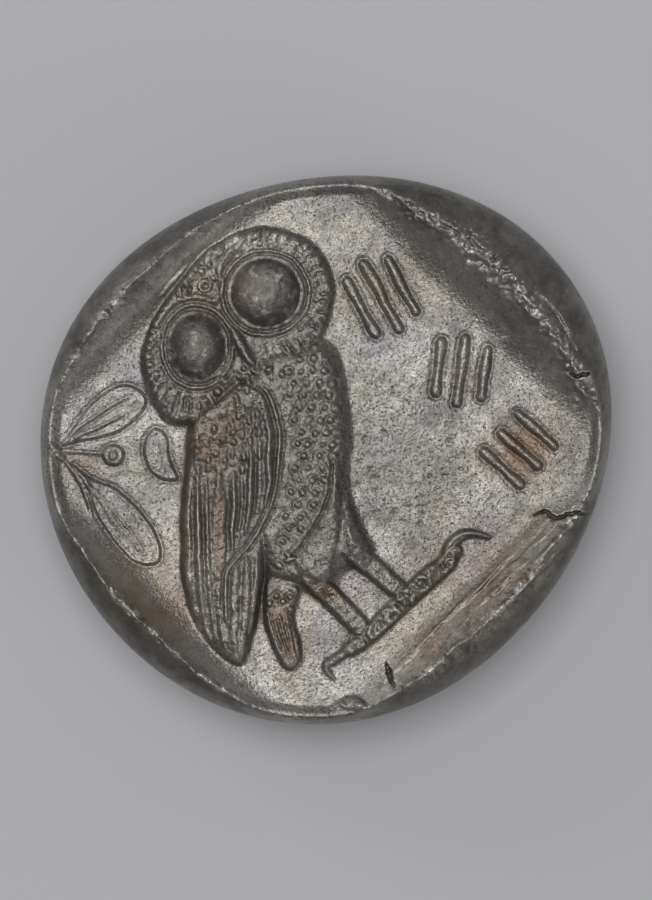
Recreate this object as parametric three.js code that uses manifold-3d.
// An ancient Greek silver tetradrachm, struck by hand on a thick, rounded blank (the flan).
//
// The coin lies on its obverse. +Z is up, +X right and +Y up the reverse as it is looked at, in millimetres.
// The reverse, on top, holds a sunken square with an owl, an olive sprig, a crescent and a row of strokes.
// The obverse, underneath, is domed and carries a helmeted head in high relief, whose highest parts are worn
// flat: the coin rests on them. The origin is on that flat, under the middle of the coin.

import * as THREE from "three";
import { mergeVertices } from "three/addons/utils/BufferGeometryUtils.js";
import Module from "manifold-3d";

const wasm = await Module();
wasm.setup();

// ---- Driving dimensions

const MEAN_RADIUS = 11.58; // of the flan, where it is widest
const LOBES = [
  { times: 1, size: 0.24, phase: 70 },
  { times: 2, size: 0.41, phase: 58 },
  { times: 3, size: 0.25, phase: 105 },
]; // how far the outline swells, how many times round, and where, in degrees

const HEIGHT = { obverseField: 1.4, obverseRim: 2.0, belly: 3.75, reverseField: 5.05, flanTop: 6.3 };
const EDGE_WIDTH = { obverse: 2.6, reverse: 3.0 }; // how far in the rounded edge reaches
const EDGE_ROUNDNESS = 2.6; // the exponent of its curve: 2 is an ellipse
const FLAN_SEGMENTS = 72;

const PUNCH = { x: -0.53, y: 0.04, halfWidth: 8.65, halfLength: 8.6, turn: 44.5, bevel: 1.85, corner: 1.6 };

const SINK = 1; // how deep each piece of relief starts below the field it stands on
const MOUND_SHOULDER = 0.3; // the share of the way to its middle over which a mound climbs
const RELIEF = { head: 0.6, eye: 0.3, body: 0.8, wing: 0.95, leg: 0.5, tail: 0.45, leaf: 0.32, stroke: 0.36 };
const OBVERSE = { head: 0.75, bowl: 1.9, cheek: 1.75, hair: 1.6, crest: 0.7, trim: 0.18 };

// ---- Solids

const radians = THREE.MathUtils.degToRad;
const point = ([x, y]) => new THREE.Vector2(x, y);

function toSolid(geometry) {
  const bare = geometry.clone();
  bare.deleteAttribute("normal");
  bare.deleteAttribute("uv");
  const merged = mergeVertices(bare, 1e-4);
  return new wasm.Manifold(
    new wasm.Mesh({
      numProp: 3,
      vertProperties: merged.getAttribute("position").array,
      triVerts: new Uint32Array(merged.getIndex().array),
    }),
  );
}

function toGeometry(solid) {
  const { vertProperties, triVerts } = solid.getMesh();
  const geometry = new THREE.BufferGeometry();
  geometry.setAttribute("position", new THREE.BufferAttribute(new Float32Array(vertProperties), 3));
  geometry.setIndex(new THREE.BufferAttribute(new Uint32Array(triVerts), 1));
  geometry.computeVertexNormals();
  return geometry;
}

// A smooth closed outline through a few points.
function outline(points, steps = 40) {
  const curve = new THREE.CatmullRomCurve3(points.map(([x, y]) => new THREE.Vector3(x, y, 0)), true);
  return new THREE.Shape(curve.getPoints(steps).slice(0, -1).map(({ x, y }) => new THREE.Vector2(x, y)));
}

// A raised shape with a rounded shoulder, standing on z = 0.
function plateau(shape, height, shoulder) {
  const geometry = new THREE.ExtrudeGeometry(shape, {
    depth: SINK,
    bevelThickness: height,
    bevelSize: shoulder,
    bevelOffset: -shoulder,
    bevelSegments: 3,
  });
  geometry.translate(0, 0, -SINK);
  return geometry;
}

// A pillow-shaped rise: the outline is drawn in towards its middle as it climbs.
function mound(shape, height, rows = 4) {
  const around = shape.getPoints();
  if (THREE.ShapeUtils.isClockWise(around)) around.reverse();
  const middle = around.reduce((sum, { x, y }) => sum.add(new THREE.Vector2(x, y)), new THREE.Vector2());
  middle.divideScalar(around.length);
  const levels = [{ inset: 0, z: -SINK }];
  for (let row = 0; row <= rows; row++) {
    const share = row / rows;
    levels.push({ inset: MOUND_SHOULDER * share, z: height * Math.sqrt(1 - (1 - share) ** 2) });
  }
  const vertices = levels.flatMap(({ inset, z }) =>
    around.flatMap(({ x, y }) => [x + (middle.x - x) * inset, y + (middle.y - y) * inset, z]),
  );
  const ring = around.length;
  const top = levels.length - 1;
  const faces = [];
  for (let j = 0; j < ring; j++) {
    const next = (j + 1) % ring;
    for (let i = 0; i < top; i++) {
      const [a, b] = [i * ring + j, i * ring + next];
      faces.push(a, b, b + ring, a, b + ring, a + ring);
    }
    faces.push(top * ring + j, top * ring + next, levels.length * ring);
    faces.push(next, j, levels.length * ring + 1);
  }
  vertices.push(middle.x, middle.y, height, middle.x, middle.y, -SINK);
  const geometry = new THREE.BufferGeometry();
  geometry.setAttribute("position", new THREE.Float32BufferAttribute(vertices, 3));
  geometry.setIndex(faces);
  return geometry;
}

// A low dome on an oval base.
function dome(x, y, radiusX, radiusY, height, segments = 20) {
  const geometry = new THREE.SphereGeometry(1, segments, segments / 2);
  geometry.rotateX(Math.PI / 2);
  geometry.scale(radiusX, radiusY, height);
  return geometry.translate(x, y, 0);
}

// A raised bar along a smooth path through the given points. Its width varies with the share of the way along
// it, its height with that and the place, and its section is a low arch.
function ridge(points, width, height, steps = 8) {
  const path = new THREE.SplineCurve(points.map(point));
  const arch = [[-0.5, -1], [-0.5, 0], [-0.32, 0.75], [0, 1], [0.32, 0.75], [0.5, 0], [0.5, -1]];
  const vertices = [];
  const faces = [];
  for (let i = 0; i <= steps; i++) {
    const share = i / steps;
    const { x, y } = path.getPoint(share);
    const along = path.getTangent(share);
    for (const [across, up] of arch) {
      const side = across * width(share);
      vertices.push(x - along.y * side, y + along.x * side, up < 0 ? -SINK : up * height(share, x, y));
    }
  }
  const ring = arch.length;
  for (let i = 0; i < steps; i++)
    for (let j = 0; j < ring; j++) {
      const a = i * ring + j;
      const b = i * ring + ((j + 1) % ring);
      faces.push(a, b + ring, b, a, a + ring, b + ring);
    }
  const last = steps * ring;
  for (let j = 1; j < ring - 1; j++) faces.push(0, j, j + 1, last, last + j + 1, last + j);
  const geometry = new THREE.BufferGeometry();
  geometry.setAttribute("position", new THREE.Float32BufferAttribute(vertices, 3));
  geometry.setIndex(faces);
  return geometry;
}

const even = (size) => () => size;
const pointed = (size, least = 0.12) => (share) => Math.max(least, size * Math.sin(Math.PI * share) ** 0.7);
const tapering = (start, end) => (share) => start + (end - start) * share;

// ---- The flan

function flanRadius(angle) {
  const swell = LOBES.map(({ times, size, phase }) => size * Math.cos(times * angle - radians(phase)));
  return swell.reduce((sum, part) => sum + part, MEAN_RADIUS);
}

// The rounded edge between the belly, where the coin is widest, and one of its faces.
function edgeProfile(width, faceHeight) {
  const insets = [0, 0.03, 0.12, 0.3, 0.6, 1].map((share) => share * width);
  return insets.map((inset) => {
    const climb = (1 - (1 - inset / width) ** EDGE_ROUNDNESS) ** (1 / EDGE_ROUNDNESS);
    return [MEAN_RADIUS - inset, HEIGHT.belly + (faceHeight - HEIGHT.belly) * climb];
  });
}

function flan() {
  const obverse = [0, 0.35, 0.6].map((share) => {
    const radius = share * MEAN_RADIUS;
    return [radius, HEIGHT.obverseField + (HEIGHT.obverseRim - HEIGHT.obverseField) * (share / 0.8) ** 2];
  });
  const lower = edgeProfile(EDGE_WIDTH.obverse, HEIGHT.obverseRim).reverse();
  const upper = edgeProfile(EDGE_WIDTH.reverse, HEIGHT.flanTop);
  const profile = [...obverse, ...lower, ...upper.slice(1), [0, HEIGHT.flanTop]].map(point);
  const geometry = new THREE.LatheGeometry(profile, FLAN_SEGMENTS);
  geometry.rotateX(Math.PI / 2);
  const place = geometry.getAttribute("position");
  for (let i = 0; i < place.count; i++) {
    const stretch = flanRadius(Math.atan2(place.getY(i), place.getX(i))) / MEAN_RADIUS;
    place.setXY(i, place.getX(i) * stretch, place.getY(i) * stretch);
  }
  return geometry;
}

// The square punch that sank the reverse: a block with sloping sides and rounded corners.
function punch() {
  const { x, y, halfWidth, halfLength, turn, bevel, corner } = PUNCH;
  const depth = 2 * (HEIGHT.flanTop - HEIGHT.reverseField);
  const spread = bevel * 2;
  const [w, l, r] = [halfWidth + spread, halfLength + spread, corner + spread];
  const square = new THREE.Shape();
  square.absarc(w - r, l - r, r, 0, Math.PI / 2);
  square.absarc(r - w, l - r, r, Math.PI / 2, Math.PI);
  square.absarc(r - w, r - l, r, Math.PI, 1.5 * Math.PI);
  square.absarc(w - r, r - l, r, 1.5 * Math.PI, 2 * Math.PI);
  const geometry = new THREE.ExtrudeGeometry(square, {
    depth: 1,
    curveSegments: 5,
    bevelThickness: depth,
    bevelSize: spread,
    bevelOffset: -spread,
    bevelSegments: 1,
  });
  geometry.translate(0, 0, depth);
  geometry.rotateZ(radians(turn));
  return geometry.translate(x, y, HEIGHT.reverseField);
}

// ---- The reverse

const EYES = [
  { x: -2.4, y: 6.48, radiusX: 1.8, radiusY: 1.8 },
  { x: -5.25, y: 4.2, radiusX: 1.5, radiusY: 1.75 },
];

const EYEBALL = 0.78; // its size as a share of the ring round it

function eyeRing(x, y, radiusX, radiusY) {
  const thickness = 0.16;
  const geometry = new THREE.TorusGeometry(1, thickness, 6, 28);
  geometry.scale(radiusX / (1 + thickness), radiusY / (1 + thickness), 1);
  return geometry.translate(x, y, RELIEF.head);
}

function owlHead() {
  const face = outline([
    [-7.6, 4.1], [-7.1, 2.4], [-5.7, 1.3], [-3.9, 2.2], [-1.8, 3.4], [-0.2, 4.4], [0.5, 6.2],
    [-0.2, 8.3], [-2.2, 9.05], [-4.3, 8.6], [-6, 7.1], [-7.2, 5.7],
  ]);
  const pieces = [plateau(face, RELIEF.head, 0.4)];
  for (const { x, y, radiusX, radiusY } of EYES) {
    pieces.push(eyeRing(x, y, radiusX, radiusY));
    pieces.push(dome(x, y, radiusX * EYEBALL, radiusY * EYEBALL, RELIEF.head + RELIEF.eye));
  }
  const beak = [[-4, 5.6], [-3.7, 4.6], [-3, 3.6]];
  pieces.push(ridge(beak, pointed(0.8), tapering(0.8, 1.1)));
  return pieces;
}

function owlBody() {
  const trunk = outline([
    [-3.4, 3.2], [-0.4, 4.6], [0.6, 3.2], [1.05, 0.8], [0.95, -1.4], [1.7, -3.2], [2, -4.2], [1.2, -5],
    [0.6, -6], [-0.9, -6.1], [-2.4, -5.4], [-3, -2],
  ]);
  const pieces = [plateau(trunk, RELIEF.body, 0.4)];
  const rows = 9;
  for (let row = 0; row < rows; row++) {
    const y = 3.6 - row * 0.62;
    const left = -1.25 - 0.06 * row;
    const across = row < 6 ? 3 : 2;
    for (let i = 0; i < across; i++) pieces.push(feather(left + i * 0.62 + (row % 2) * 0.2, y));
  }
  const thigh = [[0.75, -1.5], [0.1, -3.1], [-1.1, -4.6]];
  pieces.push(ridge(thigh, even(0.3), even(RELIEF.body + 0.14)));
  return pieces;
}

function feather(x, y) {
  const geometry = new THREE.IcosahedronGeometry(0.2, 0);
  return geometry.translate(x, y, RELIEF.body);
}

function owlWing() {
  const spread = outline([
    [-5.4, 1.3], [-4, 2.6], [-2.5, 2.8], [-1.75, 1.3], [-1.75, -1], [-2.1, -3.6], [-2.6, -6.2], [-3.4, -8.7],
    [-4.6, -8.1], [-5.6, -6.9], [-5.9, -4], [-5.8, -1],
  ]);
  const pieces = [plateau(spread, RELIEF.wing - 0.25, 0.35)];
  const frontEdge = [[-3.3, 2.6], [-2.1, 2], [-1.85, -0.3], [-2.3, -2.7], [-4, -4.8]];
  pieces.push(ridge(frontEdge, even(0.42), even(RELIEF.wing), 12));
  const quills = 6;
  for (let i = 0; i < quills; i++) {
    const top = [-5.45 + i * 0.5, 0.4 - 0.25 * i];
    const tip = [-5.35 + i * 0.42, -6.6 - 0.42 * i];
    const middle = [(top[0] + tip[0]) / 2 - 0.12, (top[1] + tip[1]) / 2];
    pieces.push(ridge([top, middle, tip], pointed(0.42), even(RELIEF.wing - 0.06)));
  }
  return pieces;
}

function owlLegs() {
  const legs = [
    [[0.9, -3.9], [3.4, -5.8]],
    [[0, -5.5], [1.5, -7.6]],
  ];
  const pieces = legs.map((leg) => ridge(leg, even(1.05), even(RELIEF.leg), 2));
  const toes = [
    [[1.2, -7.9], [2.3, -7.2], [3.7, -5.9]],
    [[3.6, -5.9], [4.5, -4.9], [5.3, -4]],
    [[5, -4.2], [5.9, -3.5], [6.6, -3.55]],
    [[1.4, -7.8], [0.7, -8.2], [0.3, -8.9]],
  ];
  toes.forEach((toe, i) => {
    const root = i < 2 ? 0.8 : 0.6;
    pieces.push(ridge(toe, tapering(root, 0.45), even(RELIEF.leg - 0.1), 4));
  });
  pieces.push(dome(3.75, -5.95, 0.5, 0.5, RELIEF.leg + 0.1, 10));
  pieces.push(dome(5.25, -4.6, 0.48, 0.48, RELIEF.leg + 0.05, 10));
  return pieces;
}

function owlTail() {
  const feathers = [-0.28, 0, 0.28];
  return feathers.map((shift) => {
    const line = [[-2.1 + shift, -5.6], [-1.75 + shift, -7.5], [-1.35 + shift * 0.8, -9.1 + Math.abs(shift)]];
    return ridge(line, pointed(0.4), even(RELIEF.tail), 5);
  });
}

function oliveSprig() {
  const leaves = [
    { line: [[-10.8, 0.15], [-9.2, 1.55], [-7.45, 2.3]], width: 1.4 },
    { line: [[-10.4, -0.7], [-9, -2.4], [-7, -4.6]], width: 1.6 },
  ];
  const pieces = leaves.map(({ line, width }) => ridge(line, pointed(width), even(RELIEF.leaf), 10));
  pieces.push(ridge([[-10.9, -0.1], [-9, -0.2]], even(0.22), even(0.2), 2));
  pieces.push(dome(-8.76, -0.18, 0.46, 0.42, RELIEF.leaf + 0.1, 10));
  return pieces;
}

function crescent() {
  const moon = [[-6.95, 1.05], [-7.25, 0.1], [-6.85, -0.75], [-5.98, -1.1]];
  return [ridge(moon, pointed(0.75), even(RELIEF.leaf), 10)];
}

// Where an inscription stood: a row of nine short strokes in threes, running down the right-hand side.
function strokes() {
  const groups = [
    { x: 2.35, y: 6.35, slant: 118, gap: 0.95, lengths: [2.4, 3, 2.4] },
    { x: 5.65, y: 3.3, slant: 82, gap: 0.95, lengths: [2, 2.7, 2] },
    { x: 8.05, y: 0.05, slant: 138, gap: 1.05, lengths: [2, 2, 2] },
  ];
  return groups.flatMap(({ x, y, slant, gap, lengths }) =>
    lengths.map((length, i) => {
      const along = new THREE.Vector2(Math.cos(radians(slant)), Math.sin(radians(slant)));
      const middle = new THREE.Vector2(x + along.y * gap * (i - 1), y - along.x * gap * (i - 1));
      const ends = [-0.5, 0.5].map((share) =>
        middle.clone().addScaledVector(along, share * length).toArray(),
      );
      return ridge(ends, even(0.5), even(RELIEF.stroke), 1);
    }),
  );
}

// ---- The obverse, drawn as it is looked at, and then turned over

const BOWL = { x: -0.6, y: 2.6, radiusX: 5.3, radiusY: 4.4, height: OBVERSE.bowl };
const CHEEK = { x: 2.2, y: -1.4, radiusX: 3.1, radiusY: 3.3, height: OBVERSE.cheek };
const HAIR = { x: -3.1, y: -3.1, radiusX: 2.3, radiusY: 2.9, height: OBVERSE.hair };

// The height of trim that lies over a rounded part of the head.
function over({ x, y, radiusX, radiusY, height }) {
  return (share, placeX, placeY) => {
    const reach = ((placeX - x) / radiusX) ** 2 + ((placeY - y) / radiusY) ** 2;
    return Math.max(OBVERSE.head, height * Math.sqrt(Math.max(0, 1 - reach))) + OBVERSE.trim;
  };
}

function helmetedHead() {
  const profile = outline([
    [5.2, 2.8], [5.5, 0.9], [6.5, -0.9], [5.7, -1.5], [5.8, -2.2], [5.4, -2.9], [5.1, -3.9], [3.7, -4.7],
    [2.4, -5.4], [2.5, -8.2], [-1.4, -9], [-4.9, -7.8], [-4.3, -4.6], [-5.8, 0.5], [-4.6, 4.6],
    [-0.8, 7.2], [3.2, 6],
  ], 56);
  const pieces = [mound(profile, OBVERSE.head)];
  for (const { x, y, radiusX, radiusY, height } of [BOWL, CHEEK, HAIR])
    pieces.push(dome(x, y, radiusX, radiusY, height, 24));
  const crest = [[5.4, 4.6], [1.6, 8.2], [-4, 7.9], [-7.4, 3.6], [-7.7, -2.2]];
  pieces.push(ridge(crest, pointed(1.5, 0.6), even(OBVERSE.crest), 14));
  const edging = [[-5.6, -0.6], [-1.6, -0.9], [2.2, 1.5], [5.6, 3]];
  pieces.push(ridge(edging, even(0.7), over(BOWL), 12));
  const leafPlaces = [1.1, 2.2, 3.3];
  for (const x of leafPlaces) {
    const leaf = [[x - 0.6, 1.9 + x * 0.25], [x + 0.3, 4.6]];
    pieces.push(ridge(leaf, pointed(0.7), over(BOWL), 5));
  }
  const eye = [[3.4, 0.1], [4.1, 0.4], [4.8, 0.1]];
  pieces.push(ridge(eye, pointed(0.6), over(CHEEK), 5));
  const locks = 4;
  for (let lock = 0; lock < locks; lock++) {
    const x = -4.5 + lock * 0.95;
    const strand = [[x, -1.3], [x - 0.25, -3.4], [x - 0.1, -5.4]];
    pieces.push(ridge(strand, pointed(0.6), over(HAIR), 6));
  }
  const earring = 0.7;
  pieces.push(dome(-0.1, -3.1, earring, earring, OBVERSE.cheek * 0.85, 12));
  const necklace = [[2.3, -7.2], [-1.2, -7.8], [-4.4, -6.9]];
  pieces.push(ridge(necklace, even(0.5), over(CHEEK), 6));
  for (const piece of pieces) {
    piece.rotateX(Math.PI);
    piece.translate(0, 0, HEIGHT.obverseField + 0.1);
  }
  return pieces;
}

// ---- Joining

function coin() {
  const reverse = [
    ...owlHead(), ...owlBody(), ...owlWing(), ...owlLegs(), ...owlTail(),
    ...oliveSprig(), ...crescent(), ...strokes(),
  ].map((piece) => piece.translate(0, 0, HEIGHT.reverseField));
  const struck = toSolid(flan()).subtract(toSolid(punch()));
  const raised = [...reverse, ...helmetedHead()].map(toSolid);
  const whole = wasm.Manifold.union([struck, ...raised]);
  const floor = new THREE.BoxGeometry(40, 40, 10).translate(0, 0, -5);
  return toGeometry(whole.subtract(toSolid(floor)));
}

function centreOnBase(geometry) {
  geometry.computeBoundingBox();
  const { min, max } = geometry.boundingBox;
  return geometry.translate(-(min.x + max.x) / 2, -(min.y + max.y) / 2, -min.z);
}

const silver = new THREE.MeshStandardMaterial({ color: 0x8f8c85, roughness: 0.42, metalness: 1 });
const coinMesh = new THREE.Mesh(centreOnBase(coin()), silver);
coinMesh.name = "coin";

const tetradrachm = new THREE.Group();
tetradrachm.add(coinMesh);

export default tetradrachm;
